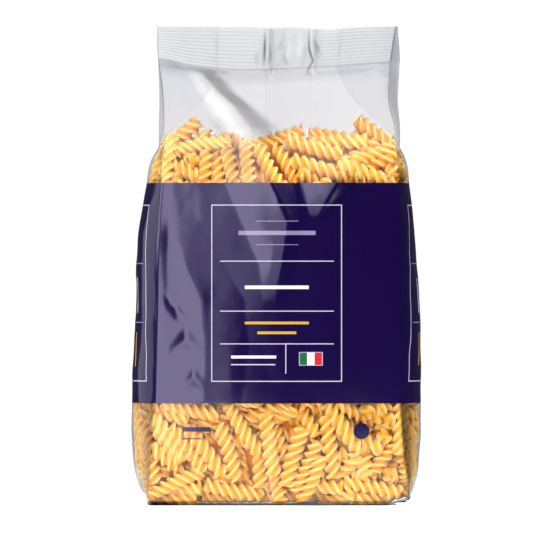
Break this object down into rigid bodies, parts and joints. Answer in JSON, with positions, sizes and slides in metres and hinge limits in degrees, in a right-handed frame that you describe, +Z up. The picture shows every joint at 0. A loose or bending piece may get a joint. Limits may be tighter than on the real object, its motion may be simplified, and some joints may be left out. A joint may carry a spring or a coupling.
{
  "type": "pasta packet",
  "caption": "Sealed side-gusset film packet of spiral pasta standing on its folded base, with a crimped top seal, a dark printed band and clear windows above and below.",
  "frame": {"origin": "middle of the packet's bounding box in X and Y, at the base it stands on", "axes": "+Z up to the top seal; the printed front panel faces -Y; X runs across the front, to the right as the front is looked at"},
  "size_m": [0.1506, 0.067, 0.2496],
  "materials": {
    "film": "clear glossy film over pale yellow dry pasta, with a dark blue printed band"
  },
  "bodies": {
    "root": {"packet": "film"}
  },
  "joints": []
}
